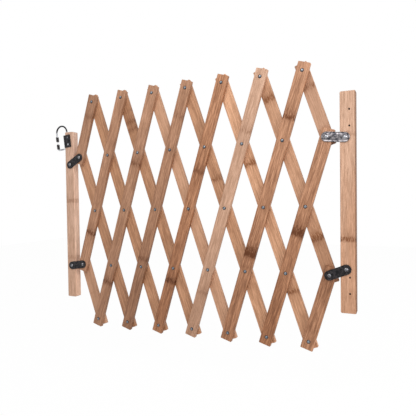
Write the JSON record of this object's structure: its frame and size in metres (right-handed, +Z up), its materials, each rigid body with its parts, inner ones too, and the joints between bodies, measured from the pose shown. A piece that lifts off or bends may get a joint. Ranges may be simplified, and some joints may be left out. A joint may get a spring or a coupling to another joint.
{
  "type": "expandable trellis gate",
  "caption": "Expandable trellis gate: a riveted lattice of crossed bamboo slats that folds sideways between a wall post and a latch post, hung on pivoting link plates.",
  "frame": {"origin": "middle of the wall post's back face, which lies on the wall", "axes": "+X from the lattice towards the wall post, +Y into the wall, +Z up"},
  "size_m": [1.0871, 0.0338, 0.848],
  "materials": {
    "bamboo_front": "oiled",
    "bamboo_back": "oiled",
    "bamboo_post": "oiled",
    "rivet_steel": "bright",
    "black_steel": "hammered black",
    "zinc_steel": "bright zinc",
    "chrome_wire": "polished"
  },
  "bodies": {
    "wall_post": {"wall_post": "bamboo_post", "wall_post_rivets": "rivet_steel"},
    "latch_post": {"latch_post": "bamboo_post", "latch_post_rivets": "rivet_steel", "latch_strap": "black_steel", "latch_screws": "black_steel"},
    "front_slat_1": {"front_slat_1": "bamboo_front", "rivets_1": "rivet_steel", "washers_1": "rivet_steel", "link_rivet_upper_left": "rivet_steel"},
    "front_slat_2": {"front_slat_2": "bamboo_front", "rivets_2": "rivet_steel", "washers_2": "rivet_steel"},
    "front_slat_3": {"front_slat_3": "bamboo_front", "rivets_3": "rivet_steel", "washers_3": "rivet_steel"},
    "front_slat_4": {"front_slat_4": "bamboo_front", "rivets_4": "rivet_steel", "washers_4": "rivet_steel"},
    "front_slat_5": {"front_slat_5": "bamboo_front", "rivets_5": "rivet_steel", "washers_5": "rivet_steel"},
    "front_slat_6": {"front_slat_6": "bamboo_front", "rivets_6": "rivet_steel", "washers_6": "rivet_steel"},
    "front_slat_7": {"front_slat_7": "bamboo_front", "rivets_7": "rivet_steel", "washers_7": "rivet_steel"},
    "front_slat_8": {"front_slat_8": "bamboo_front", "rivets_8": "rivet_steel", "washers_8": "rivet_steel", "link_rivet_upper_right": "rivet_steel"},
    "front_slat_9": {"front_slat_9": "bamboo_front", "rivets_9": "rivet_steel", "washers_9": "rivet_steel"},
    "back_slat_1": {"back_slat_1": "bamboo_back"},
    "back_slat_2": {"back_slat_2": "bamboo_back"},
    "back_slat_3": {"back_slat_3": "bamboo_back"},
    "back_slat_4": {"back_slat_4": "bamboo_back"},
    "back_slat_5": {"back_slat_5": "bamboo_back"},
    "back_slat_6": {"back_slat_6": "bamboo_back"},
    "back_slat_7": {"back_slat_7": "bamboo_back"},
    "back_slat_8": {"back_slat_8": "bamboo_back"},
    "back_slat_9": {"back_slat_9": "bamboo_back"},
    "link_upper_right": {"link_upper_right": "zinc_steel"},
    "link_upper_left": {"link_upper_left": "black_steel"},
    "link_lower_right": {"link_lower_right": "black_steel", "link_rivet_lower_right": "rivet_steel"},
    "link_lower_left": {"link_lower_left": "black_steel", "link_rivet_lower_left": "rivet_steel"},
    "latch_loop": {"latch_loop": "chrome_wire", "latch_gate_pin": "chrome_wire"},
    "latch_gate": {"latch_gate": "black_steel"}
  },
  "joints": [
    {"name": "upper_right_link_swing", "type": "hinge", "parent": "wall_post", "child": "link_upper_right", "pos_m": [-0.0079, -0.02855, 0.181], "axis": [0, 1, 0], "range_deg": [-6.19, 12.44]},
    {"name": "front_slat_8_turn", "type": "hinge", "parent": "link_upper_right", "child": "front_slat_8", "pos_m": [-0.05769, -0.02855, 0.18561], "axis": [0, 1, 0], "range_deg": [-25.23, 12.54]},
    {"name": "fold", "type": "hinge", "parent": "front_slat_8", "child": "back_slat_6", "pos_m": [-0.23689, -0.01485, -0.40239], "axis": [0, -1, 0], "range_deg": [-24.6, 12.2]},
    {"name": "back_slat_9_turn", "type": "hinge", "parent": "front_slat_8", "child": "back_slat_9", "pos_m": [-0.05769, -0.01485, 0.18561], "axis": [0, -1, 0], "range_deg": [-24.65, 12.25]},
    {"name": "back_slat_8_turn", "type": "hinge", "parent": "front_slat_8", "child": "back_slat_8", "pos_m": [-0.11742, -0.01485, -0.01039], "axis": [0, -1, 0], "range_deg": [-24.65, 12.25]},
    {"name": "back_slat_7_turn", "type": "hinge", "parent": "front_slat_8", "child": "back_slat_7", "pos_m": [-0.17716, -0.01485, -0.20639], "axis": [0, -1, 0], "range_deg": [-24.65, 12.25]},
    {"name": "front_slat_9_turn", "type": "hinge", "parent": "back_slat_8", "child": "front_slat_9", "pos_m": [-0.05156, -0.01485, -0.20442], "axis": [0, 1, 0], "range_deg": [-24.65, 12.25]},
    {"name": "front_slat_7_turn", "type": "hinge", "parent": "back_slat_6", "child": "front_slat_7", "pos_m": [-0.30276, -0.01485, -0.20836], "axis": [0, 1, 0], "range_deg": [-24.65, 12.25]},
    {"name": "front_slat_6_turn", "type": "hinge", "parent": "back_slat_6", "child": "front_slat_6", "pos_m": [-0.36862, -0.01485, -0.01434], "axis": [0, 1, 0], "range_deg": [-24.65, 12.25]},
    {"name": "front_slat_5_turn", "type": "hinge", "parent": "back_slat_6", "child": "front_slat_5", "pos_m": [-0.43448, -0.01485, 0.17969], "axis": [0, 1, 0], "range_deg": [-24.65, 12.25]},
    {"name": "front_slat_4_turn", "type": "hinge", "parent": "back_slat_6", "child": "front_slat_4", "pos_m": [-0.50035, -0.01485, 0.37372], "axis": [0, 1, 0], "range_deg": [-24.65, 12.25]},
    {"name": "back_slat_5_turn", "type": "hinge", "parent": "front_slat_4", "child": "back_slat_5", "pos_m": [-0.56008, -0.01485, 0.17772], "axis": [0, -1, 0], "range_deg": [-24.65, 12.25]},
    {"name": "back_slat_4_turn", "type": "hinge", "parent": "front_slat_4", "child": "back_slat_4", "pos_m": [-0.61982, -0.01485, -0.01828], "axis": [0, -1, 0], "range_deg": [-24.65, 12.25]},
    {"name": "back_slat_3_turn", "type": "hinge", "parent": "front_slat_4", "child": "back_slat_3", "pos_m": [-0.67956, -0.01485, -0.21428], "axis": [0, -1, 0], "range_deg": [-24.65, 12.25]},
    {"name": "back_slat_2_turn", "type": "hinge", "parent": "front_slat_4", "child": "back_slat_2", "pos_m": [-0.73929, -0.01485, -0.41028], "axis": [0, -1, 0], "range_deg": [-24.65, 12.25]},
    {"name": "front_slat_3_turn", "type": "hinge", "parent": "back_slat_2", "child": "front_slat_3", "pos_m": [-0.80515, -0.01485, -0.21625], "axis": [0, 1, 0], "range_deg": [-24.65, 12.25]},
    {"name": "front_slat_2_turn", "type": "hinge", "parent": "back_slat_2", "child": "front_slat_2", "pos_m": [-0.87102, -0.01485, -0.02223], "axis": [0, 1, 0], "range_deg": [-24.65, 12.25]},
    {"name": "front_slat_1_turn", "type": "hinge", "parent": "back_slat_2", "child": "front_slat_1", "pos_m": [-0.93688, -0.01485, 0.1718], "axis": [0, 1, 0], "range_deg": [-24.65, 12.25]},
    {"name": "back_slat_1_turn", "type": "hinge", "parent": "front_slat_2", "child": "back_slat_1", "pos_m": [-0.93075, -0.01485, -0.21823], "axis": [0, -1, 0], "range_deg": [-24.65, 12.25]},
    {"name": "lower_right_link_swing", "type": "hinge", "parent": "wall_post", "child": "link_lower_right", "pos_m": [-0.0054, -0.02855, -0.1852], "axis": [0, 1, 0], "range_deg": [-14.94, 7.43]},
    {"name": "upper_left_link_swing", "type": "hinge", "parent": "front_slat_1", "child": "link_upper_left", "pos_m": [-0.93688, -0.02855, 0.1718], "axis": [0, 1, 0], "range_deg": [-1.75, 3.48]},
    {"name": "latch_post_swing", "type": "hinge", "parent": "link_upper_left", "child": "latch_post", "pos_m": [-0.98029, -0.02855, 0.14699], "axis": [0, 1, 0], "range_deg": [-4.69, 9.41]},
    {"name": "lower_left_link_swing", "type": "hinge", "parent": "latch_post", "child": "link_lower_left", "pos_m": [-0.98029, -0.02855, -0.22501], "axis": [0, 1, 0], "range_deg": [-8.97, 18.04]},
    {"name": "latch_loop_swing", "type": "hinge", "parent": "latch_post", "child": "latch_loop", "pos_m": [-1.00874, -0.005, 0.23249], "axis": [-0.1219, 0, 0.9925], "range_deg": [-80, 80]},
    {"name": "latch_gate_spring", "type": "hinge", "parent": "latch_loop", "child": "latch_gate", "pos_m": [-1.05603, -0.005, 0.2156], "axis": [0, 1, 0], "range_deg": [0, 25], "stiffness_Nm_per_rad": 0.05, "springref_deg": -17.19}
  ],
  "couplings": [
    {"joint": "upper_right_link_swing", "follows": "fold", "ratio": -0.5035},
    {"joint": "front_slat_8_turn", "follows": "fold", "ratio": 1.0235},
    {"joint": "back_slat_9_turn", "follows": "fold", "ratio": 1},
    {"joint": "back_slat_8_turn", "follows": "fold", "ratio": 1},
    {"joint": "back_slat_7_turn", "follows": "fold", "ratio": 1},
    {"joint": "front_slat_9_turn", "follows": "fold", "ratio": 1},
    {"joint": "front_slat_7_turn", "follows": "fold", "ratio": 1},
    {"joint": "front_slat_6_turn", "follows": "fold", "ratio": 1},
    {"joint": "front_slat_5_turn", "follows": "fold", "ratio": 1},
    {"joint": "front_slat_4_turn", "follows": "fold", "ratio": 1},
    {"joint": "back_slat_5_turn", "follows": "fold", "ratio": 1},
    {"joint": "back_slat_4_turn", "follows": "fold", "ratio": 1},
    {"joint": "back_slat_3_turn", "follows": "fold", "ratio": 1},
    {"joint": "back_slat_2_turn", "follows": "fold", "ratio": 1},
    {"joint": "front_slat_3_turn", "follows": "fold", "ratio": 1},
    {"joint": "front_slat_2_turn", "follows": "fold", "ratio": 1},
    {"joint": "front_slat_1_turn", "follows": "fold", "ratio": 1},
    {"joint": "back_slat_1_turn", "follows": "fold", "ratio": 1},
    {"joint": "lower_right_link_swing", "follows": "fold", "ratio": 0.6051},
    {"joint": "upper_left_link_swing", "follows": "fold", "ratio": -0.1394},
    {"joint": "latch_post_swing", "follows": "fold", "ratio": -0.3806},
    {"joint": "lower_left_link_swing", "follows": "fold", "ratio": -0.7311}
  ]
}
